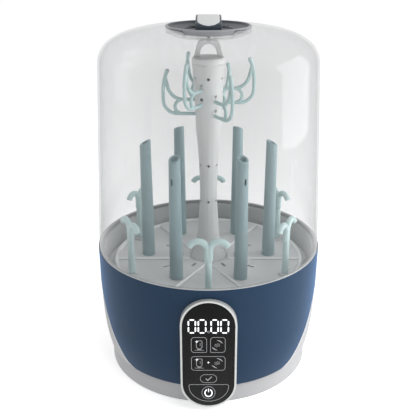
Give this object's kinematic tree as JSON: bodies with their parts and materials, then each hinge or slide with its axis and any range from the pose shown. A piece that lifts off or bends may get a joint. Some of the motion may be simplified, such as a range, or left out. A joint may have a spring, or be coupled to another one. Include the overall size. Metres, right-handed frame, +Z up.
{
  "type": "bottle sterilizer",
  "caption": "Steam sterilizer and dryer for feeding bottles: round heated base with a touch panel, lift-out rack with posts, hooks and arms, and a clear domed lid.",
  "frame": {"origin": "on the ground under the centre of the base's bounding box", "axes": "+Z up along the mast, -Y out of the control panel, +X to the right of a person who faces the panel"},
  "size_m": [0.2522, 0.2606, 0.3927],
  "materials": {
    "cover_blue": "satin moulded",
    "shell_grey": "satin moulded",
    "trim_light": "satin moulded",
    "panel_black": "high gloss",
    "foot_rubber": "matt",
    "tub_grey": "fine texture",
    "plate_steel": "brushed in rings",
    "seal_silicone": "matt",
    "element_steel": "heat dulled",
    "screw_steel": "zinc plated",
    "board_green": "solder mask",
    "motor_steel": "plain",
    "inner_dark": "moulded",
    "fan_white": "moulded",
    "heater_metal": "finned",
    "filter_fleece": "pleated",
    "rack_grey": "satin moulded",
    "post_teal": "satin moulded",
    "hook_mint": "satin moulded",
    "mast_grey": "satin moulded",
    "dome_clear": "clear moulded plastic",
    "dish_grey": "satin moulded",
    "handle_navy": "satin moulded"
  },
  "bodies": {
    "base": {"front_cover": "cover_blue", "rear_shell": "shell_grey", "edge_trims": "trim_light", "base_ring": "shell_grey", "bottom_cover": "shell_grey", "rubber_feet": "foot_rubber", "base_screws": "screw_steel", "panel_frame": "trim_light", "panel_glass": "panel_black", "display_module": "inner_dark", "touch_board": "board_green", "inner_tub": "tub_grey", "heating_plate": "plate_steel", "plate_seal": "seal_silicone", "heating_element": "element_steel", "thermostat": "motor_steel", "air_riser": "tub_grey", "fan_housing": "inner_dark", "fan_motor": "motor_steel", "air_duct": "inner_dark", "dryer_heater": "heater_metal", "control_board": "board_green", "mains_inlet": "inner_dark", "filter_frame": "inner_dark"},
    "fan": {"fan_rotor": "fan_white"},
    "filter": {"filter_cover": "shell_grey", "air_filter": "filter_fleece"},
    "rack": {"rack_tray": "rack_grey", "bottle_post_1": "post_teal", "bottle_post_2": "post_teal", "bottle_post_3": "post_teal", "bottle_post_4": "post_teal", "bottle_post_5": "post_teal", "bottle_post_6": "post_teal", "hook_1": "hook_mint", "hook_2": "hook_mint", "hook_3": "hook_mint", "hook_4": "hook_mint", "hook_5": "hook_mint", "hook_6": "hook_mint", "mast": "mast_grey", "mast_cap": "mast_grey", "teat_arm_1": "hook_mint", "teat_arm_2": "hook_mint", "teat_arm_3": "hook_mint", "teat_arm_4": "hook_mint", "teat_arm_5": "hook_mint", "teat_arm_6": "hook_mint"},
    "lid": {"dome": "dome_clear", "handle_dish": "dish_grey", "handle_bar": "handle_navy", "handle_inlay": "trim_light", "dish_retainer": "dome_clear", "handle_screws": "dome_clear"}
  },
  "joints": [
    {"name": "rack_lift", "type": "slide", "parent": "base", "child": "rack", "axis": [0, 0, 1], "range_m": [0, 0.3]},
    {"name": "lid_lift", "type": "slide", "parent": "rack", "child": "lid", "axis": [0, 0, 1], "range_m": [0, 0.28]},
    {"name": "fan_spin", "type": "hinge", "parent": "base", "child": "fan", "pos_m": [0, 0.066, 0.035], "axis": [0, 0, 1], "continuous": true},
    {"name": "filter_pull", "type": "slide", "parent": "base", "child": "filter", "axis": [0, 1, 0], "range_m": [0, 0.045]}
  ]
}
